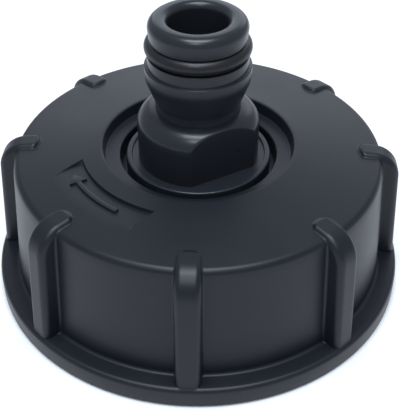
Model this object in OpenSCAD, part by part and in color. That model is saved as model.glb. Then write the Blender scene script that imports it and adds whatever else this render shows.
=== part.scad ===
// Screw-on adapter cap for the coarse outlet thread of an intermediate bulk container, with a loose
// moulded hose nozzle. The cap stands on its flange, z = 0 is the flange's face, and +Z points out of
// the nozzle. The tank's outlet enters the cap from below.

/* [Cap] */
// Diameter of the flange at the cap's foot
flange_d = 74; // [72:0.5:80]
// Thickness of the flange
flange_t = 3.9; // [3:0.1:5]
// Diameter of the wall where it meets the flange
wall_foot_d = 67; // [66:0.5:70]
// Draft of the wall and of the rib faces, in degrees
draft = 3.8; // [1:0.1:5]
// Height of the corner between wall and top
wall_h = 24.95; // [24:0.05:28]
// Rise of the conical top, from the wall to the edge of the recess
top_rise = 1.65; // [0.5:0.05:2.5]
// Radius of the rounding between wall and top
top_round = 1.2; // [0.5:0.1:2]

/* [Thread] */
// Diameter at the root of the coarse female thread
thread_root_d = 60.2; // [59.6:0.1:61]
// Depth of the thread, which the gasket chamber above it has to clear
thread_depth = 1.9; // [1:0.1:2.5]
// Length of the threaded wall
thread_len = 14.2; // [10:0.2:16]
// Size of the chamfer that starts the thread
thread_lead = 1.0; // [0.5:0.1:1.5]

/* [Top] */
// Thickness of the top plate at the centre hole
plate_t = 3.05; // [2.5:0.05:3.5]
// Diameter of the recess at the top surface
recess_d = 33.2; // [32:0.1:36]
// Diameter of the recess at its floor
recess_floor_d = 32.6; // [31:0.1:33]
// Depth of the recess
recess_depth = 2.05; // [1:0.05:2.5]
// Diameter of the centre hole
hole_d = 27.3; // [27:0.1:29]
// Width of the flat pad sunk into the top
pad_w = 19.2; // [12:0.2:22]
// Radius at which the pad starts
pad_inner_r = 20.3; // [19:0.1:22]
// Depth of the pad at its inner edge
pad_depth = 0.55; // [0.2:0.05:0.8]
// Direction of the pad's middle, in degrees
pad_turn = -135; // [-180:5:180]

/* [Grip ribs] */
// Number of ribs
rib_count = 8; // [4:1:10]
// Width of a rib
rib_w = 4.3; // [3:0.1:6]
// Distance of a rib's face from the axis, at the flange
rib_foot_r = 36.45; // [35.8:0.05:36.6]
// Radius of a rib's bend over the top edge
rib_bend_r = 5; // [4.5:0.1:5.2]
// Height of the centre of that bend
rib_bend_h = 20.7; // [20.5:0.1:21]
// Radius of the rounded edges of a rib
rib_edge = 1.1; // [0.4:0.1:1.6]
// Distance of a rib's inner end from the axis
rib_inner_r = 27.7; // [26.5:0.1:28.5]

/* [Nozzle] */
// Diameter of the boss that turns in the cap's hole
boss_d = 25.2; // [24:0.1:26]
// Diameter of the base
base_d = 20.9; // [20:0.1:22]
// Height of the corner between base and shoulder
base_h = 31.4; // [30:0.1:32]
// Distance between the two wrench flats
flats_w = 17; // [16.5:0.1:18]
// Direction that one flat faces, in degrees
flats_turn = -58; // [-90:1:90]
// Radius of the domed shoulder
shoulder_r = 3.7; // [3.6:0.05:4]
// Diameter of the neck
neck_d = 14.5; // [14:0.1:15]
// Diameter of the collar that the hose connector's claws catch behind
collar_d = 17.84; // [17.6:0.02:18]
// Height of the collar's upper edge
collar_top = 41.9; // [41.5:0.1:42.5]
// Diameter of the land above the collar
land_d = 16.8; // [16.4:0.1:17]
// Diameter of the lip at the tip
lip_d = 16.4; // [16:0.1:16.8]
// Height of the tip
tip_h = 50.2; // [49.5:0.1:51]
// Diameter of the bore at the tip
bore_d = 9.8; // [8:0.1:10]
// Diameter of the bore in the base
base_bore_d = 12.6; // [11:0.1:13]

/* [Seals] */
// Cord diameter of the nozzle's O-ring
ring_cord = 2.5; // [2.4:0.1:2.6]
// Outer diameter of the O-ring in its groove
ring_d = 17.7; // [17.6:0.02:17.8]
// Height of the O-ring's middle
ring_h = 45.3; // [45.1:0.1:45.5]
// Outer diameter of the flat gasket
gasket_d = 54.4; // [53:0.2:55]
// Inner diameter of the flat gasket
gasket_bore = 42; // [40:0.5:44]
// Thickness of the flat gasket
gasket_t = 2.6; // [2:0.1:2.6]

/* [Hidden] */
$fn = 96;
plastic = [0.10, 0.105, 0.115];
rubber = [0.05, 0.05, 0.055];
arc_steps = 5;
sink = 1;

// Heights and radii of the cap
recess_r = recess_d / 2;
wall_top_r = wall_foot_d / 2 - (wall_h - flange_t) * tan(draft);
top_h = wall_h + top_rise;
top_slope = atan(top_rise / (wall_top_r - recess_r));
recess_h = top_h - recess_depth;
plate_h = recess_h - plate_t;
chamber_h = thread_lead + thread_len;
chamber_r = thread_root_d / 2 - thread_depth + 0.4;
flange_round = 0.8;
flange_foot_round = 0.6;
wall_foot_fillet = 0.5;
recess_round = 0.3;
hole_round = 0.4;
pad_h = top_h - (pad_inner_r - recess_r) * tan(top_slope) - pad_depth;

// Place of a rib's bend, so that the rib's face runs into it without a step
rib_bend_face_r = rib_foot_r - (rib_bend_h - flange_t) * tan(draft);
rib_bend_x = rib_bend_face_r - rib_bend_r / cos(draft);
rib_depth = rib_bend_r - 1.5;
rib_sweep = 90 - draft - top_slope;
rib_face_len = (rib_bend_h - flange_t + sink) / cos(draft) + rib_bend_r * tan(draft);
rib_nose_r = 3;
// The straight lengths are a hair slimmer than the bend and reach a little way into it
rib_slimmer = 0.02;
rib_lap = 0.3;

// Heights of the nozzle's hidden flange, held just under the cap's top plate
axial_play = 0.3;
seal_flange_t = 3;
seal_flange_top = plate_h - axial_play;
seal_flange_foot = seal_flange_top - seal_flange_t;
seal_flange_r = thread_root_d / 2 - thread_depth - 0.6;
seat_ring_r = gasket_bore / 2 - 0.3;
seat_ring_h = 1.6;
seat_ring_t = 2;
boss_h = 24.6;
boss_step_r = 11.6;
boss_step = 0.4;
foot_h = boss_h - boss_step;

// Outline of the nozzle above its base
shoulder_x = base_d / 2 - 3.5;
shoulder_h = base_h - sqrt(pow(shoulder_r, 2) - pow(base_d / 2 - shoulder_x, 2));
taper_foot_h = 35.4;
taper_slope = 20.8;
collar_foot_h = 40.7;
collar_blend_r = 4.9;
groove_w = ring_cord + 0.2;
groove_r = ring_d / 2 - ring_cord - 0.02;
ring_x = (ring_d - ring_cord) / 2;
lip_round = 1.55;
funnel_foot_h = 30.6;
funnel_top_h = 33.2;
funnel_mouth_r = 8.4;
funnel_mouth_h = 2.2;

// Points of an arc round a centre, from one angle to another
function arc(x, z, r, from, to, steps = arc_steps) =
    [for (i = [0 : steps]) let (a = from + (to - from) * i / steps) [x + r * cos(a), z + r * sin(a)]];

// Height of the conical top at a distance from the axis
function top_at(r) = top_h - (r - recess_r) * tan(top_slope);

// Half section of the cap, from the thread's lead-in round the outside to the gasket chamber
function cap_outline() = concat(
    [[thread_root_d / 2, thread_lead], [thread_root_d / 2 + thread_lead, 0]],
    arc(flange_d / 2 - flange_foot_round, flange_foot_round, flange_foot_round, -90, 0),
    arc(flange_d / 2 - flange_round, flange_t - flange_round, flange_round, 0, 90),
    arc(wall_foot_d / 2 + wall_foot_fillet, flange_t + wall_foot_fillet, wall_foot_fillet, -90, -180 - draft, 3),
    arc(wall_top_r - top_round, top_at(wall_top_r - top_round) - top_round / cos(top_slope), top_round,
        draft, 90 - top_slope),
    arc(recess_r + recess_round, top_at(recess_r + recess_round) - recess_round, recess_round, 90, 180, 3),
    [[recess_floor_d / 2, recess_h]],
    arc(hole_d / 2 + hole_round, recess_h - hole_round, hole_round, 90, 180, 3),
    [[hole_d / 2, plate_h], [chamber_r, plate_h], [chamber_r, chamber_h], [thread_root_d / 2, chamber_h]]
);

// Cross-section of a rib, x pointing away from the surface that it stands on
module rib_section(slimmer = 0) {
    half = rib_w / 2 - rib_edge;
    edge = rib_edge - slimmer;
    polygon(concat(
        [[0, -half - edge]],
        arc(rib_depth - rib_edge, -half, edge, -90, 0),
        arc(rib_depth - rib_edge, half, edge, 0, 90),
        [[0, half + edge]]
    ));
}

// Puts the rib's section on the outer side of its bend, at an angle above the horizontal
module at_bend(turn) {
    translate([rib_bend_x, 0, rib_bend_h])
        rotate([0, -turn, 0])
            translate([rib_bend_r - rib_depth, 0, 0]) children();
}

// Drafted length of a rib, from inside the flange up into the bend
module rib_face() {
    at_bend(draft)
        translate([0, 0, -rib_face_len])
            linear_extrude(height = rib_face_len + rib_lap) rib_section(rib_slimmer);
}

// Bend of a rib over the cap's top edge
module rib_bend() {
    translate([rib_bend_x, 0, rib_bend_h])
        rotate([90, -draft, 0])
            rotate_extrude(angle = rib_sweep)
                translate([rib_bend_r - rib_depth, 0]) rib_section();
}

// Head of a rib, which lies along the top and ends in a rounded nose
module rib_head() {
    intersection() {
        at_bend(draft + rib_sweep)
            translate([0, 0, -rib_lap])
                linear_extrude(height = rib_bend_r) rib_section(rib_slimmer);
        translate([rib_inner_r + rib_nose_r, 0, plate_h]) cylinder(r = rib_nose_r, h = top_h);
    }
}

// Space cut away to leave the flat pad, which runs out where the top has dropped to its level
module pad_cut() {
    rotate([0, 0, pad_turn])
        translate([0, 0, pad_h])
            linear_extrude(height = top_h)
                difference() {
                    translate([0, -pad_w / 2]) square([rib_inner_r - 0.6, pad_w]);
                    circle(r = pad_inner_r);
                }
}

module cap() {
    color(plastic)
        difference() {
            union() {
                rotate_extrude() polygon(cap_outline());
                for (i = [0 : rib_count - 1])
                    rotate([0, 0, i * 360 / rib_count]) {
                        rib_face();
                        rib_bend();
                        rib_head();
                    }
            }
            pad_cut();
        }
}

// Half section of the nozzle, up the outside and down the bore
function nozzle_outline() = concat(
    [[seat_ring_r - seat_ring_t, seal_flange_foot], [seat_ring_r - seat_ring_t, seal_flange_foot - seat_ring_h]],
    [[seat_ring_r, seal_flange_foot - seat_ring_h], [seat_ring_r, seal_flange_foot]],
    [[seal_flange_r, seal_flange_foot], [seal_flange_r, seal_flange_top], [boss_d / 2, seal_flange_top]],
    [[boss_d / 2, boss_h - 0.3], [boss_d / 2 - 0.3, boss_h], [boss_step_r, boss_h], [boss_step_r, foot_h]],
    [[base_d / 2, foot_h]],
    arc(shoulder_x, shoulder_h, shoulder_r, acos((base_d / 2 - shoulder_x) / shoulder_r),
        acos((neck_d / 2 - shoulder_x) / shoulder_r), 8),
    [[neck_d / 2, taper_foot_h]],
    arc(collar_d / 2 - collar_blend_r, collar_foot_h, collar_blend_r, -taper_slope, 0),
    [[collar_d / 2, collar_top], [land_d / 2, collar_top + 0.15]],
    [[land_d / 2, ring_h - groove_w / 2], [groove_r, ring_h - groove_w / 2]],
    [[groove_r, ring_h + groove_w / 2], [lip_d / 2 - 0.2, ring_h + groove_w / 2], [lip_d / 2, ring_h + 2.5]],
    arc(lip_d / 2 - lip_round, tip_h - lip_round, lip_round, 0, 90),
    [[bore_d / 2 + 1.2, tip_h]],
    arc(bore_d / 2 + 1.2, tip_h - 1.2, 1.2, 90, 180),
    [[bore_d / 2, funnel_top_h], [base_bore_d / 2, funnel_foot_h]],
    [[base_bore_d / 2, seal_flange_foot + funnel_mouth_h], [funnel_mouth_r, seal_flange_foot]]
);

module nozzle() {
    color(plastic)
        difference() {
            rotate_extrude() polygon(nozzle_outline());
            for (side = [0, 180])
                rotate([0, 0, flats_turn + side])
                    translate([flats_w / 2, -base_d, foot_h])
                        cube([base_d, 2 * base_d, taper_foot_h - foot_h]);
        }
}

module nozzle_o_ring() {
    color(rubber)
        rotate_extrude() translate([ring_x, ring_h]) circle(d = ring_cord);
}

module tank_gasket() {
    color(rubber)
        translate([0, 0, seal_flange_foot - gasket_t])
            difference() {
                cylinder(d = gasket_d, h = gasket_t);
                translate([0, 0, -sink]) cylinder(d = gasket_bore, h = gasket_t + 2 * sink);
            }
}

cap();
nozzle();
nozzle_o_ring();
tank_gasket();
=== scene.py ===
"""Looks of the screw-on tank adapter: a ribbed cap in satin black plastic with a loose, glossier hose
nozzle, its O-ring and the flat gasket under it. Meshes are drawn in millimetres and brought to metres."""

import math

import bmesh
import bpy
from mathutils import Matrix, Vector


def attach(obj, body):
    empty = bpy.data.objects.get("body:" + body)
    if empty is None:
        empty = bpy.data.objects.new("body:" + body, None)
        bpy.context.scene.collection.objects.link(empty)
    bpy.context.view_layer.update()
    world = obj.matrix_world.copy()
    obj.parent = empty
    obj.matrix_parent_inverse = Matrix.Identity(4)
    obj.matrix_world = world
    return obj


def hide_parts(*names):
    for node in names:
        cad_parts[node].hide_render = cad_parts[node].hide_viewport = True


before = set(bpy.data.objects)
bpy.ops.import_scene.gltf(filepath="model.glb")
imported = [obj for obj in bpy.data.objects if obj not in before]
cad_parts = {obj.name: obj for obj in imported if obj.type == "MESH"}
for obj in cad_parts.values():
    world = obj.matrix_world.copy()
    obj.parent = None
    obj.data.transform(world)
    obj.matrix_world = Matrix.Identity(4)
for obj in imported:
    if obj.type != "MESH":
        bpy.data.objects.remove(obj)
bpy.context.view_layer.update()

MM = 0.001
TURN = 2 * math.pi
UP = Vector((0, 0, 1))
SMOOTH_BELOW = math.radians(32)
ARC_STEP = math.radians(13)

# Cap: flange, drafted wall and conical top
FLANGE_R = 37.0
FLANGE_T = 3.9
FLANGE_FOOT_ROUND = 0.6
FLANGE_ROUND = 0.8
WALL_FOOT_R = 33.5
WALL_FILLET = 0.5
DRAFT = math.radians(3.8)
WALL_H = 24.95
TOP_RISE = 1.65
TOP_ROUND = 1.2
WALL_TOP_R = WALL_FOOT_R - (WALL_H - FLANGE_T) * math.tan(DRAFT)

# Recess, centre hole, plate and the space below them
RECESS_R = 16.6
RECESS_FLOOR_R = 16.3
RECESS_DEPTH = 2.05
RECESS_ROUND = 0.3
HOLE_R = 13.65
HOLE_ROUND = 0.4
PLATE_T = 3.05
TOP_H = WALL_H + TOP_RISE
TOP_SLOPE = math.atan(TOP_RISE / (WALL_TOP_R - RECESS_R))
RECESS_Z = TOP_H - RECESS_DEPTH
PLATE_Z = RECESS_Z - PLATE_T
THREAD_ROOT_R = 30.1
THREAD_DEPTH = 1.9
THREAD_PITCH = 6.0
THREAD_LEAD = 1.0
CHAMBER_Z = 15.2
CHAMBER_R = THREAD_ROOT_R - THREAD_DEPTH + 0.4

# Flat pad sunk into the top
PAD_TURN = math.radians(-135)
PAD_HALF_W = 9.6
PAD_INNER_R = 20.3
PAD_DEPTH = 0.55
PAD_EDGE = 0.12
PAD_Z = TOP_H - (PAD_INNER_R - RECESS_R) * math.tan(TOP_SLOPE) - PAD_DEPTH
PAD_RUNOUT_R = RECESS_R + (TOP_H - PAD_Z) / math.tan(TOP_SLOPE)

# Raised arrow on the pad
ARROW_R = 22.7
ARROW_LINE = 0.9
ARROW_H = 0.35
ARROW_SINK = ARROW_H / 4
ARROW_ROUND = ARROW_H / 4
ARROW_WING = 1.1
ARROW_HALF_SWEEP = math.radians(13)

# Grip ribs
RIB_COUNT = 8
RIB_W = 4.3
RIB_EDGE = 1.1
RIB_FILLET = 0.4
RIB_FOOT_R = 36.45
BEND_R = 5.0
BEND_Z = 20.7
BEND_X = RIB_FOOT_R - (BEND_Z - FLANGE_T) * math.tan(DRAFT) - BEND_R / math.cos(DRAFT)
NOSE_TIP_R = 27.7
NOSE_R = 3.0
NOSE_EDGE = 0.6
NOSE_FILLET = 0.3

# Columns of the cap's mesh in half a sector: fine ones over the rib, wide ones beside it
RIB_ZONE = RIB_W / 2 + RIB_FILLET + 0.25
RIB_COLUMNS = 30
WALL_COLUMNS = 8
HALF_SECTOR = math.pi / RIB_COUNT
# Share of the fine columns that each stretch of the rib's section gets for its length
SECTION_WEIGHTS = (1.0, 1.5, 1.0, 3.0, 1.0)

# Rows of the cap's mesh, as radii on the flange and the top and as heights on the wall
FLANGE_ROWS = (35.5, 34.8, 34.3)
WALL_ROWS = (6, 9.5, 13, 16.5, 19)
BEND_ROWS = 9
HEAD_ROWS = (30.3, 29.7, 29.1, 28.7)
NOSE_ROWS = [NOSE_TIP_R + 0.86 - 0.07 * i for i in range(13)]
TOP_ROWS = (27.5, 26.8, 26.1, PAD_RUNOUT_R, 24.2, 22.8, 21.5)
PAD_ROWS = (PAD_INNER_R + PAD_EDGE, PAD_INNER_R, 20.0, 18.6, 17.5)
# Radii between which the rows follow a rib's round nose: none of it, all of it, all of it, none of it
NOSE_REACH = (25.6, 27.6, 28.7, 30.3)
RECESS_FLOOR_ROUND = 0.2


def arc(r, z, radius, start, end, steps):
    """Points of an arc in the half section, with the angles in radians."""
    angles = [start + (end - start) * i / steps for i in range(steps + 1)]
    return [(r + radius * math.cos(a), z + radius * math.sin(a)) for a in angles]


def rounded(corners):
    """Closed half section from its corners, (r, z) or (r, z, radius of its rounding)."""
    points = []
    for i, corner in enumerate(corners):
        here = Vector(corner[:2])
        if len(corner) == 2:
            points.append(tuple(here))
            continue
        back = (Vector(corners[i - 1][:2]) - here).normalized()
        ahead = (Vector(corners[(i + 1) % len(corners)][:2]) - here).normalized()
        half = back.angle(ahead) / 2
        middle = here + (back + ahead).normalized() * corner[2] / math.sin(half)
        first = here + back * corner[2] / math.tan(half) - middle
        last = here + ahead * corner[2] / math.tan(half) - middle
        sweep = first.angle_signed(last)
        steps = max(2, math.ceil(abs(sweep) / ARC_STEP))
        for k in range(steps + 1):
            points.append(tuple(middle + Matrix.Rotation(-sweep * k / steps, 2) @ first))
    return points


def lathe(outline, columns):
    """Closed ring with that half section."""
    bm = bmesh.new()
    verts = [bm.verts.new((r, 0, z)) for r, z in outline]
    edges = [bm.edges.new(pair) for pair in zip(verts, verts[1:] + verts[:1])]
    bmesh.ops.spin(bm, geom=verts + edges, cent=(0, 0, 0), axis=UP, angle=TURN, steps=columns,
                   use_merge=True)
    bmesh.ops.remove_doubles(bm, verts=bm.verts, dist=1e-5)
    bmesh.ops.recalc_face_normals(bm, faces=bm.faces)
    return bm


def piece(name, bm, body, material, stands_for=()):
    """Makes the object of a mesh drawn in millimetres and lets it ride on its body."""
    bmesh.ops.scale(bm, vec=(MM, MM, MM), verts=bm.verts)
    mesh = bpy.data.meshes.new(name)
    bm.to_mesh(mesh)
    bm.free()
    mesh.shade_smooth()
    mesh.set_sharp_from_angle(angle=SMOOTH_BELOW)
    mesh.materials.append(material)
    made = bpy.data.objects.new(name, mesh)
    bpy.context.scene.collection.objects.link(made)
    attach(made, body)
    if stands_for:
        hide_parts(*stands_for)
    return made


def share(value, start, end):
    """How far a value has come from start to end, from 0 to 1."""
    return min(1.0, max(0.0, (value - start) / (end - start)))


def top_at(r):
    """Height of the conical top."""
    return TOP_H - (r - RECESS_R) * math.tan(TOP_SLOPE)


def wall_at(z):
    """Radius of the drafted wall."""
    return WALL_FOOT_R - (z - FLANGE_T) * math.tan(DRAFT)


def flange_at(r):
    """Height of the flange's upper side, with its rounded edge."""
    past = min(FLANGE_ROUND, max(0.0, r - FLANGE_R + FLANGE_ROUND))
    return FLANGE_T - FLANGE_ROUND + math.sqrt(FLANGE_ROUND ** 2 - past ** 2)


def wall_on_ray(angle):
    """Point of the wall on a line from the centre of the ribs' bend."""
    reach = WALL_FOOT_R - BEND_X - (BEND_Z - FLANGE_T) * math.tan(DRAFT)
    reach /= math.cos(angle) + math.sin(angle) * math.tan(DRAFT)
    return BEND_X + reach * math.cos(angle), BEND_Z + reach * math.sin(angle)


def step_profile(along, height, edge, fillet):
    """Height of a step with a fillet at its foot and a rounded edge, at a distance from its foot."""
    turn = math.acos(min(1.0, max(0.0, (edge + fillet - height) / (edge + fillet))))
    length = (edge + fillet) * math.sin(turn)
    if along <= 0:
        return 0.0
    if along < fillet * math.sin(turn):
        return fillet - math.sqrt(fillet ** 2 - along ** 2)
    if along < length:
        return height - edge + math.sqrt(edge ** 2 - (length - along) ** 2)
    return height


def rib_section(u, lift):
    """Distance from the rib's middle plane, and height over the cap's surface, of a point of half the
    rib's cross-section. u runs from 0 on its middle line to 1 beside it."""
    flat = RIB_W / 2 - RIB_EDGE
    both = RIB_EDGE + RIB_FILLET
    turn = math.acos(min(1.0, max(0.0, (both - lift) / both)))
    side = max(0.0, lift - both)
    foot = flat + both * math.sin(turn)
    lengths = (flat, RIB_EDGE * turn, side, RIB_FILLET * turn, RIB_ZONE - foot)
    parts = [length * weight for length, weight in zip(lengths, SECTION_WEIGHTS)]
    left = u * sum(parts)
    for stretch, part in enumerate(parts):
        if left <= part or stretch == len(parts) - 1:
            break
        left -= part
    done = left / part if part else 0.0
    if stretch == 0:
        return flat * done, lift
    if stretch == 1:
        return (flat + RIB_EDGE * math.sin(turn * done),
                lift - RIB_EDGE + RIB_EDGE * math.cos(turn * done))
    if stretch == 2:
        return RIB_W / 2, lift - RIB_EDGE - side * done
    if stretch == 3:
        return (foot - RIB_FILLET * math.sin(turn * (1 - done)),
                RIB_FILLET - RIB_FILLET * math.cos(turn * (1 - done)))
    return foot + (RIB_ZONE - foot) * min(1.0, done), 0.0


def rib_lift(r, z):
    """How far a rib stands off a point of the cap's surface, and in which direction."""
    angle = math.atan2(z - BEND_Z, r - BEND_X)
    if angle < DRAFT:
        return RIB_FOOT_R - (z - FLANGE_T) * math.tan(DRAFT) - r, 0.0
    angle = min(angle, math.pi / 2 - TOP_SLOPE)
    lift = BEND_R - (r - BEND_X) * math.cos(angle) - (z - BEND_Z) * math.sin(angle)
    nose = step_profile((r - NOSE_TIP_R) / math.cos(TOP_SLOPE), lift, NOSE_EDGE, NOSE_FILLET)
    return (nose if r < BEND_X else lift), angle


def nose_shift(t, r):
    """How far the rows near a rib's nose move outwards, so that they follow its round end."""
    shift = NOSE_R - math.sqrt(NOSE_R ** 2 - min(t, RIB_W / 2) ** 2)
    return shift * share(r, *NOSE_REACH[:2]) * share(r, *reversed(NOSE_REACH[2:]))


def on_surface(r, z, u, angle):
    """Point of the cap's outside. u is its column over half a rib, and angle its turn beside the rib."""
    if r < PAD_RUNOUT_R or z < FLANGE_T - FLANGE_ROUND or (z < PLATE_Z and r < WALL_TOP_R - 1):
        t = u * RIB_ZONE
        x = math.sqrt(r * r - t * t)
        lift = height = tilt = 0.0
    elif z <= FLANGE_T:
        return on_flange(r, u, angle)
    else:
        lift, tilt = rib_lift(r, z)
        t, height = rib_section(u, lift)
        shift = nose_shift(t, r) if r < BEND_X else 0.0
        z += top_at(r + shift) - top_at(r)
        r += shift
        x = math.sqrt(r * r - t * t)
    flatten = (r - x) * height / lift if lift > 0 else 0.0
    x += height * math.cos(tilt) + flatten
    return turned(x, t, z + height * math.sin(tilt), r, angle)


def on_flange(r, u, angle):
    """Point of the flange's upper side, whose rows give way to the feet of the ribs."""
    foot_r = WALL_FOOT_R + WALL_FILLET
    lift = RIB_FOOT_R - foot_r
    t_foot, height = rib_section(u, lift)
    t = u * RIB_ZONE
    give = 1 - share(r, foot_r, FLANGE_R)
    x_foot = math.sqrt(foot_r ** 2 - t_foot ** 2)
    x_foot += height + (foot_r - x_foot) * height / lift
    x = math.sqrt(r * r - t * t) + give * (x_foot - math.sqrt(foot_r ** 2 - t * t))
    t += give * (t_foot - t)
    return turned(x, t, flange_at(math.hypot(x, t)), r, angle)


def turned(x, t, z, r, angle):
    """Turns the columns beside a rib on to their place round the axis."""
    edge = math.asin(RIB_ZONE / r)
    beside = angle * (HALF_SECTOR - edge)
    return Matrix.Rotation(beside, 3, "Z") @ Vector((x, t, z))


def cap_outline():
    """Half section of the cap. Its rows suit the ribs, which grow out of them."""
    bend_start = math.atan2(TOP_ROUND * math.sin(DRAFT) + round_middle()[1] - BEND_Z,
                            round_middle()[0] + TOP_ROUND * math.cos(DRAFT) - BEND_X)
    bend_end_r = BEND_X + BEND_R * math.sin(TOP_SLOPE)
    points = [(THREAD_ROOT_R, THREAD_LEAD), (THREAD_ROOT_R + THREAD_LEAD, 0)]
    points += arc(FLANGE_R - FLANGE_FOOT_ROUND, FLANGE_FOOT_ROUND, FLANGE_FOOT_ROUND, -math.pi / 2, 0, 6)
    points += arc(FLANGE_R - FLANGE_ROUND, FLANGE_T - FLANGE_ROUND, FLANGE_ROUND, 0, math.pi / 2, 9)
    points += [(r, FLANGE_T) for r in FLANGE_ROWS]
    points += arc(WALL_FOOT_R + WALL_FILLET, FLANGE_T + WALL_FILLET, WALL_FILLET,
                  -math.pi / 2, -math.pi - DRAFT, 6)
    points += [(wall_at(z), z) for z in WALL_ROWS]
    points += [wall_on_ray(DRAFT + (bend_start - DRAFT) * i / BEND_ROWS) for i in range(BEND_ROWS)]
    points += arc(*round_middle(), TOP_ROUND, DRAFT, math.pi / 2 - TOP_SLOPE, 10)
    points += [(r, top_at(r)) for r in (bend_end_r, *HEAD_ROWS, *NOSE_ROWS, *TOP_ROWS, *PAD_ROWS)]
    points += arc(RECESS_R + RECESS_ROUND, top_at(RECESS_R + RECESS_ROUND) - RECESS_ROUND, RECESS_ROUND,
                  math.pi / 2, math.pi, 5)
    points += arc(RECESS_FLOOR_R - RECESS_FLOOR_ROUND, RECESS_Z + RECESS_FLOOR_ROUND, RECESS_FLOOR_ROUND,
                  0, -math.pi / 2, 4)
    points += arc(HOLE_R + HOLE_ROUND, RECESS_Z - HOLE_ROUND, HOLE_ROUND, math.pi / 2, math.pi, 6)
    points += [(HOLE_R, PLATE_Z), (CHAMBER_R, PLATE_Z), (CHAMBER_R, CHAMBER_Z), (THREAD_ROOT_R, CHAMBER_Z)]
    return points


def round_middle():
    """Centre of the rounding between wall and top, in the half section."""
    r = WALL_TOP_R - TOP_ROUND
    return r, top_at(r) - TOP_ROUND / math.cos(TOP_SLOPE)


def with_edges(faces):
    """Those faces with their edges and corners."""
    return faces + list({e for f in faces for e in f.edges}) + list({v for f in faces for v in f.verts})


def sink_pad(bm):
    """Cuts the sides of the flat pad into the top and lowers what lies between them."""
    along = Matrix.Rotation(PAD_TURN, 3, "Z") @ Vector((1, 0, 0))
    across = Matrix.Rotation(PAD_TURN, 3, "Z") @ Vector((0, 1, 0))
    for offset in (PAD_HALF_W, PAD_HALF_W - PAD_EDGE, PAD_EDGE - PAD_HALF_W, -PAD_HALF_W):
        faces = [f for f in bm.faces if f.normal.z > 0.9 and f.calc_center_median().dot(along) > 0
                 and PAD_INNER_R - 1 < f.calc_center_median().xy.length < PAD_RUNOUT_R + 1]
        bmesh.ops.bisect_plane(bm, geom=with_edges(faces), dist=1e-4, plane_co=across * offset,
                               plane_no=across)
    for vert in bm.verts:
        reach = vert.co.xy.length
        inside = PAD_INNER_R + PAD_EDGE - 1e-3 < reach < PAD_RUNOUT_R and vert.co.z > PAD_Z
        if inside and vert.co.dot(along) > 0 and abs(vert.co.dot(across)) < PAD_HALF_W - PAD_EDGE + 1e-3:
            vert.co.z = PAD_Z


def cap_mesh():
    """The cap as one moulding: a turned body whose rows and columns swell into the ribs."""
    columns = RIB_COLUMNS + WALL_COLUMNS
    bm = lathe(cap_outline(), 2 * RIB_COUNT * columns)
    for vert in bm.verts:
        r = vert.co.xy.length
        azimuth = math.atan2(vert.co.y, vert.co.x)
        sector = round(azimuth / (2 * HALF_SECTOR)) * 2 * HALF_SECTOR
        column = (azimuth - sector) / HALF_SECTOR * columns
        u = min(1.0, abs(column) / RIB_COLUMNS)
        beside = max(0.0, abs(column) - RIB_COLUMNS) / WALL_COLUMNS
        point = on_surface(r, vert.co.z, u, beside)
        if column < 0:
            point.y = -point.y
        vert.co = Matrix.Rotation(sector, 3, "Z") @ point
    bm.normal_update()
    sink_pad(bm)
    bmesh.ops.recalc_face_normals(bm, faces=bm.faces)
    return bm


# Nozzle
SEAL_FLANGE_TOP = PLATE_Z - 0.3
SEAL_FLANGE_FOOT = SEAL_FLANGE_TOP - 3.0
SEAL_FLANGE_R = THREAD_ROOT_R - THREAD_DEPTH - 0.6
SEAT_RING_R = 20.7
SEAT_RING_H = 1.6
SEAT_RING_T = 2.0
BOSS_R = 12.6
BOSS_H = 24.6
BOSS_STEP_R = 11.6
FOOT_H = 24.2
BASE_R = 10.45
BASE_H = 31.4
FLATS_W = 17.0
FLATS_TURN = math.radians(-58)
FLATS_SOFTNESS = 0.1
SHOULDER_R = 3.7
SHOULDER_X = 6.95
NECK_R = 7.25
TAPER_FOOT_H = 35.4
TAPER_SLOPE = math.radians(20.8)
COLLAR_R = 8.92
COLLAR_FOOT_H = 40.7
COLLAR_TOP = 41.9
COLLAR_BLEND_R = 4.9
LAND_R = 8.4
GROOVE_LOW = 43.95
GROOVE_HIGH = 46.65
GROOVE_R = 6.33
LIP_R = 8.2
LIP_ROUND = 1.55
TIP_H = 50.2
BORE_R = 4.9
BORE_ROUND = 1.2
BASE_BORE_R = 6.3
FUNNEL_FOOT_H = 30.6
FUNNEL_TOP_H = 33.2
MOUTH_R = 8.4
MOUTH_H = 2.2
NOZZLE_COLUMNS = 256
# Roundings of the nozzle's edges and corners
HIDDEN_ROUND = 0.4
BOSS_ROUND = 0.3
FINE_ROUND = 0.12
FOOT_ROUND = 0.1
GROOVE_ROUND = 0.15
NECK_ROUND = 0.4
BORE_BLEND = 0.5
LAND_STEP = 0.15
LIP_STEP = 0.2
# Heights of rows on the base, and distances from a flat where lines are cut, both to keep faces small
BASE_ROWS = (26, 28, 30)
NECK_ROW = 34.4
FLAT_LINES = (-0.35, -0.2, -0.1, 0, 0.1, 0.2, 0.35, 0.6)

# Seals
RING_CORD = 2.5
RING_R = 7.6
RING_H = 45.3
GASKET_R = 27.2
GASKET_BORE_R = 21.0
GASKET_T = 2.6


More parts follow.
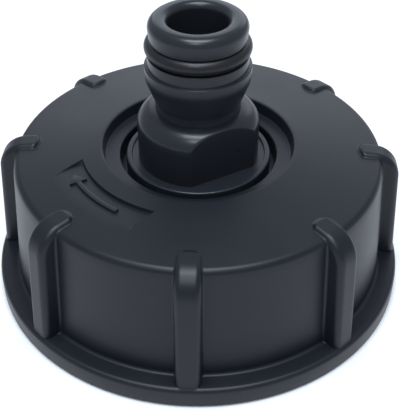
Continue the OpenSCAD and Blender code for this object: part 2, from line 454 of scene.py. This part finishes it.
def nozzle_outline():
    """Half section of the nozzle, up the outside and down the bore."""
    shoulder_h = BASE_H - math.sqrt(SHOULDER_R ** 2 - (BASE_R - SHOULDER_X) ** 2)
    shoulder = arc(SHOULDER_X, shoulder_h, SHOULDER_R, math.acos((BASE_R - SHOULDER_X) / SHOULDER_R),
                   math.acos((NECK_R - SHOULDER_X) / SHOULDER_R), 16)
    collar = arc(COLLAR_R - COLLAR_BLEND_R, COLLAR_FOOT_H, COLLAR_BLEND_R, -TAPER_SLOPE, 0, 5)
    lip = arc(LIP_R - LIP_ROUND, TIP_H - LIP_ROUND, LIP_ROUND, 0, math.pi / 2, 12)
    mouth = arc(BORE_R + BORE_ROUND, TIP_H - BORE_ROUND, BORE_ROUND, math.pi / 2, math.pi, 10)
    corners = [(SEAT_RING_R - SEAT_RING_T, SEAL_FLANGE_FOOT)]
    corners += [(SEAT_RING_R - SEAT_RING_T, SEAL_FLANGE_FOOT - SEAT_RING_H, HIDDEN_ROUND)]
    corners += [(SEAT_RING_R, SEAL_FLANGE_FOOT - SEAT_RING_H, HIDDEN_ROUND), (SEAT_RING_R, SEAL_FLANGE_FOOT)]
    corners += [(SEAL_FLANGE_R, SEAL_FLANGE_FOOT, HIDDEN_ROUND)]
    corners += [(SEAL_FLANGE_R, SEAL_FLANGE_TOP, HIDDEN_ROUND)]
    corners += [(BOSS_R, SEAL_FLANGE_TOP), (BOSS_R, BOSS_H, BOSS_ROUND), (BOSS_STEP_R, BOSS_H, FINE_ROUND)]
    corners += [(BOSS_STEP_R, FOOT_H, FOOT_ROUND), (BASE_R, FOOT_H)] + [(BASE_R, z) for z in BASE_ROWS]
    corners += [(BASE_R, BASE_H - 0.25)] + shoulder[1:]
    corners += [(NECK_R, NECK_ROW), (NECK_R, TAPER_FOOT_H, NECK_ROUND)] + collar
    corners += [(COLLAR_R, COLLAR_TOP, FINE_ROUND), (LAND_R, COLLAR_TOP + LAND_STEP)]
    corners += [(LAND_R, GROOVE_LOW, GROOVE_ROUND), (GROOVE_R, GROOVE_LOW), (GROOVE_R, GROOVE_HIGH)]
    corners += [(LIP_R - LIP_STEP, GROOVE_HIGH, GROOVE_ROUND)]
    corners += lip + mouth
    corners += [(BORE_R, FUNNEL_TOP_H, BORE_BLEND), (BASE_BORE_R, FUNNEL_FOOT_H, BORE_BLEND)]
    corners += [(BASE_BORE_R, SEAL_FLANGE_FOOT + MOUTH_H, BORE_BLEND), (MOUTH_R, SEAL_FLANGE_FOOT)]
    return rounded(corners)


def cut_flats(bm):
    """Flattens the base on two sides. Lines cut along the flats' edges keep their slight rounding even."""
    for side in (0, math.pi):
        out = Matrix.Rotation(FLATS_TURN + side, 3, "Z") @ Vector((1, 0, 0))
        for offset in FLAT_LINES:
            faces = [f for f in bm.faces if FOOT_H - 0.01 < f.calc_center_median().z < TAPER_FOOT_H
                     and NECK_R < f.calc_center_median().xy.length < BASE_R + 0.01]
            bmesh.ops.bisect_plane(bm, geom=with_edges(faces), dist=1e-4,
                                   plane_co=out * (FLATS_W / 2 + offset), plane_no=out)
        for vert in bm.verts:
            if FOOT_H - 0.01 < vert.co.z < TAPER_FOOT_H and vert.co.xy.length < BASE_R + 0.01:
                past = vert.co.dot(out) - FLATS_W / 2
                if past > -10 * FLATS_SOFTNESS:
                    back = FLATS_SOFTNESS * math.log1p(math.exp(past / FLATS_SOFTNESS))
                    vert.co -= out * back
    bmesh.ops.recalc_face_normals(bm, faces=bm.faces)


def nozzle_mesh():
    """The loose nozzle as one moulding."""
    bm = lathe(nozzle_outline(), NOZZLE_COLUMNS)
    cut_flats(bm)
    return bm


def thread_mesh():
    """Coarse thread inside the cap: one ridge that winds up the wall and runs out at both ends."""
    foot_half, crest_half = 2.1, 0.7
    turns = (CHAMBER_Z - THREAD_LEAD - 2 * foot_half) / THREAD_PITCH
    steps_per_turn = 96
    root, crest = THREAD_ROOT_R + 0.05, THREAD_ROOT_R - THREAD_DEPTH
    low = THREAD_LEAD + foot_half
    bm = bmesh.new()
    section = [(root, -foot_half), (crest + 0.15, -crest_half - 0.1), (crest, -crest_half + 0.2),
               (crest, crest_half - 0.2), (crest + 0.15, crest_half + 0.1), (root, foot_half)]
    verts = [bm.verts.new((r, 0, low + z)) for r, z in section]
    edges = [bm.edges.new(pair) for pair in zip(verts, verts[1:] + verts[:1])]
    steps = round(turns * steps_per_turn)
    bmesh.ops.spin(bm, geom=verts + edges, cent=(0, 0, 0), axis=UP, angle=turns * TURN, steps=steps,
                   dvec=(0, 0, THREAD_PITCH * turns / steps))
    bmesh.ops.holes_fill(bm, edges=[e for e in bm.edges if e.is_boundary], sides=len(section))
    bmesh.ops.recalc_face_normals(bm, faces=bm.faces)
    return bm


def turn_arrow_mesh():
    """Raised arrow on the pad that shows which way the cap screws on."""
    inner, outer = ARROW_R - ARROW_LINE / 2, ARROW_R + ARROW_LINE / 2
    start, end = PAD_TURN + ARROW_HALF_SWEEP, PAD_TURN - ARROW_HALF_SWEEP
    low = PAD_Z - ARROW_SINK
    bm = bmesh.new()
    first = [bm.verts.new((r * math.cos(start), r * math.sin(start), low)) for r in (inner, outer)]
    swept = bmesh.ops.spin(bm, geom=first + [bm.edges.new(first)], cent=(0, 0, 0), axis=UP, angle=end - start,
                           steps=20)["geom_last"]
    neck = sorted((v for v in swept if isinstance(v, bmesh.types.BMVert)), key=lambda v: v.co.xy.length)
    wings = [bm.verts.new((r * math.cos(end), r * math.sin(end), low))
             for r in (inner - ARROW_WING, outer + ARROW_WING)]
    point_turn = end - 2 * ARROW_WING / ARROW_R
    point = bm.verts.new((ARROW_R * math.cos(point_turn), ARROW_R * math.sin(point_turn), low))
    bm.faces.new((wings[0], neck[0], neck[1], wings[1], point))
    bmesh.ops.recalc_face_normals(bm, faces=bm.faces)
    raised = bmesh.ops.extrude_face_region(bm, geom=bm.faces[:])["geom"]
    top = [v for v in raised if isinstance(v, bmesh.types.BMVert)]
    bmesh.ops.translate(bm, vec=(0, 0, ARROW_SINK + ARROW_H), verts=top)
    bmesh.ops.recalc_face_normals(bm, faces=bm.faces)
    rim = [e for e in bm.edges if all(v.co.z > PAD_Z for v in e.verts) and e.calc_face_angle(0) > 1]
    bmesh.ops.bevel(bm, geom=rim, offset=ARROW_ROUND, affect="EDGES", segments=2, profile=0.5, material=-1)
    return bm


def ring_mesh():
    """O-ring in the groove near the tip."""
    return lathe(arc(RING_R, RING_H, RING_CORD / 2, 0, TURN, 40)[:-1], 192)


def gasket_mesh():
    """Flat rubber ring under the nozzle's flange."""
    low = SEAL_FLANGE_FOOT - GASKET_T
    return lathe(rounded([(GASKET_BORE_R, low, 0.3), (GASKET_R, low, 0.3),
                          (GASKET_R, SEAL_FLANGE_FOOT, 0.3), (GASKET_BORE_R, SEAL_FLANGE_FOOT, 0.3)]), 128)


class Number:
    """An output socket that takes part in Python expressions."""

    def __init__(self, shader, socket):
        self.shader = shader
        self.socket = socket

    def __add__(self, other):
        return self.shader.math("ADD", self, other)

    def __mul__(self, other):
        return self.shader.math("MULTIPLY", self, other)

    __radd__ = __add__
    __rmul__ = __mul__


class Shader:
    """A material with one Principled shader."""

    def __init__(self, name, **fixed):
        self.material = bpy.data.materials.new(name)
        self.material.use_nodes = True
        self.nodes = self.material.node_tree.nodes
        self.links = self.material.node_tree.links
        self.surface = self.nodes["Principled BSDF"]
        for socket, value in fixed.items():
            self.surface.inputs[socket.replace("_", " ")].default_value = value
        self.place = self.node("ShaderNodeTexCoord", {}, output="Object")

    def node(self, kind, inputs, output=0, **settings):
        """Adds a node: first its settings, then what its sockets get, by their name or number."""
        made = self.nodes.new(kind)
        for setting, value in settings.items():
            setattr(made, setting, value)
        for socket, value in inputs.items():
            self.feed(made.inputs[socket], value)
        return Number(self, made.outputs[output])

    def math(self, operation, first, second):
        """Adds a Math node."""
        return self.node("ShaderNodeMath", {0: first, 1: second}, operation=operation)

    def feed(self, socket, value):
        """Links an output to a socket, or sets the socket's own value."""
        if isinstance(value, Number):
            self.links.new(value.socket, socket)
        else:
            socket.default_value = value

    def noise(self, grain_mm, detail=2.0):
        """Noise whose grains measure about that many millimetres."""
        inputs = {"Vector": self.place, "Scale": 1 / (grain_mm * MM), "Detail": detail}
        return self.node("ShaderNodeTexNoise", inputs, output="Fac")

    def blend(self, factor, low, high):
        """Mixes two colours."""
        return self.node("ShaderNodeMix", {0: factor, 6: (*low, 1), 7: (*high, 1)}, output=2,
                         data_type="RGBA")

    def finish(self, colour, roughness, height, depth_mm):
        """Links what varies over the surface."""
        bump = self.node("ShaderNodeBump", {"Height": height, "Distance": depth_mm * MM, "Strength": 1.0},
                         output="Normal")
        self.feed(self.surface.inputs["Base Color"], colour)
        self.feed(self.surface.inputs["Roughness"], roughness)
        self.feed(self.surface.inputs["Normal"], bump)
        return self.material


def cap_plastic():
    """Satin black polypropylene with a faint grain and slight sink marks."""
    shader = Shader("satin_black_plastic", IOR=1.38)
    patches = shader.noise(9.0, detail=3.0)
    grain = shader.noise(0.12, detail=2.0)
    waves = shader.noise(4.0, detail=1.0)
    colour = shader.blend(patches, (0.0048, 0.0064, 0.0100), (0.0068, 0.0084, 0.0124))
    roughness = 0.34 + 0.10 * patches + 0.04 * grain
    return shader.finish(colour, roughness, grain * 0.12 + waves, 0.02)


def nozzle_plastic():
    """Smoother black polypropylene."""
    shader = Shader("semi_gloss_black_plastic", IOR=1.38)
    patches = shader.noise(4.0, detail=3.0)
    waves = shader.noise(2.5, detail=1.0)
    colour = shader.blend(patches, (0.0125, 0.0142, 0.0185), (0.0155, 0.0175, 0.0225))
    roughness = 0.24 + 0.10 * patches
    return shader.finish(colour, roughness, waves, 0.01)


def ring_rubber():
    """Smooth black rubber."""
    shader = Shader("o_ring_rubber", IOR=1.38)
    patches = shader.noise(1.5, detail=3.0)
    colour = shader.blend(patches, (0.007, 0.007, 0.009), (0.012, 0.012, 0.014))
    return shader.finish(colour, 0.30 + 0.14 * patches, shader.noise(0.2), 0.004)


def gasket_rubber():
    """Matt black rubber."""
    shader = Shader("gasket_rubber", IOR=1.38)
    patches = shader.noise(3.0, detail=4.0)
    colour = shader.blend(patches, (0.014, 0.014, 0.015), (0.022, 0.022, 0.023))
    return shader.finish(colour, 0.62 + 0.14 * patches, shader.noise(0.25, detail=3.0), 0.02)


# Studio. A light's values are its azimuth (-90 on the camera's side) and elevation in degrees, its
# distance and size in metres and its power in watts.
COOL_WHITE = (0.90, 0.97, 1.07)
ROOM_STRENGTH = 0.5
FLOOR_SIZE = 3.0
LIGHTS = {
    "overhead_light": (-95, 84, 0.6, (0.30, 0.22), 3.0),
    "front_light": (-95, 56, 0.6, (0.14, 0.05), 0.7),
    "back_light": (85, 22, 0.8, (0.9, 0.35), 1.4),
}
LIGHTS_AIM = (0, 0, 0.02)
EYE_MM = (6.33, -130.35, 116.39)
EYE_AIM_MM = (0.30, 0.014, 12.16)
LENS_MM = 79.55
SENSOR_MM = 36


def floor():
    """Plain pale floor under and behind the object."""
    bm = bmesh.new()
    bmesh.ops.create_grid(bm, x_segments=1, y_segments=1, size=FLOOR_SIZE)
    mesh = bpy.data.meshes.new("floor")
    bm.to_mesh(mesh)
    bm.free()
    ground = bpy.data.objects.new("floor", mesh)
    bpy.context.scene.collection.objects.link(ground)
    shader = Shader("pale_floor", Base_Color=(0.9, 0.9, 0.9, 1), Roughness=0.9)
    mesh.materials.append(shader.material)


def soft_light(name, azimuth, elevation, distance, size, power):
    """Area light that looks at the object's middle."""
    light = bpy.data.lights.new(name, "AREA")
    light.shape = "RECTANGLE"
    light.size, light.size_y = size
    light.energy = power
    light.color = COOL_WHITE
    lamp = bpy.data.objects.new(name, light)
    bpy.context.scene.collection.objects.link(lamp)
    a, e = math.radians(azimuth), math.radians(elevation)
    way = Vector((math.cos(a) * math.cos(e), math.sin(a) * math.cos(e), math.sin(e)))
    lamp.location = Vector(LIGHTS_AIM) + way * distance
    lamp.rotation_euler = (-way).to_track_quat("-Z", "Y").to_euler()


def studio():
    """Pale room with soft lights above, in front of and behind the object."""
    world = bpy.data.worlds.new("white_room")
    world.use_nodes = True
    world.node_tree.nodes["Background"].inputs["Color"].default_value = (*COOL_WHITE, 1)
    world.node_tree.nodes["Background"].inputs["Strength"].default_value = ROOM_STRENGTH
    bpy.context.scene.world = world
    for name, values in LIGHTS.items():
        soft_light(name, *values)
    bpy.context.scene.view_settings.view_transform = "Standard"


def camera():
    """Camera at the photograph's height and distance."""
    lens = bpy.data.cameras.new("camera")
    lens.sensor_width = SENSOR_MM
    lens.lens = LENS_MM
    eye = bpy.data.objects.new("camera", lens)
    bpy.context.scene.collection.objects.link(eye)
    eye.location = Vector(EYE_MM) * MM
    eye.rotation_euler = (Vector(EYE_AIM_MM) * MM - eye.location).to_track_quat("-Z", "Y").to_euler()
    bpy.context.scene.camera = eye


satin = cap_plastic()
glossy = nozzle_plastic()
camera()
floor()
studio()
piece("cap_body_moulding", cap_mesh(), "cap_body", satin, ("cap",))
piece("cap_thread", thread_mesh(), "cap_body", satin)
piece("turn_arrow", turn_arrow_mesh(), "cap_body", satin)
piece("hose_nozzle", nozzle_mesh(), "nozzle_body", glossy, ("nozzle",))
piece("o_ring", ring_mesh(), "nozzle_body", ring_rubber(), ("nozzle_o_ring",))
piece("flat_gasket", gasket_mesh(), "nozzle_body", gasket_rubber(), ("tank_gasket",))
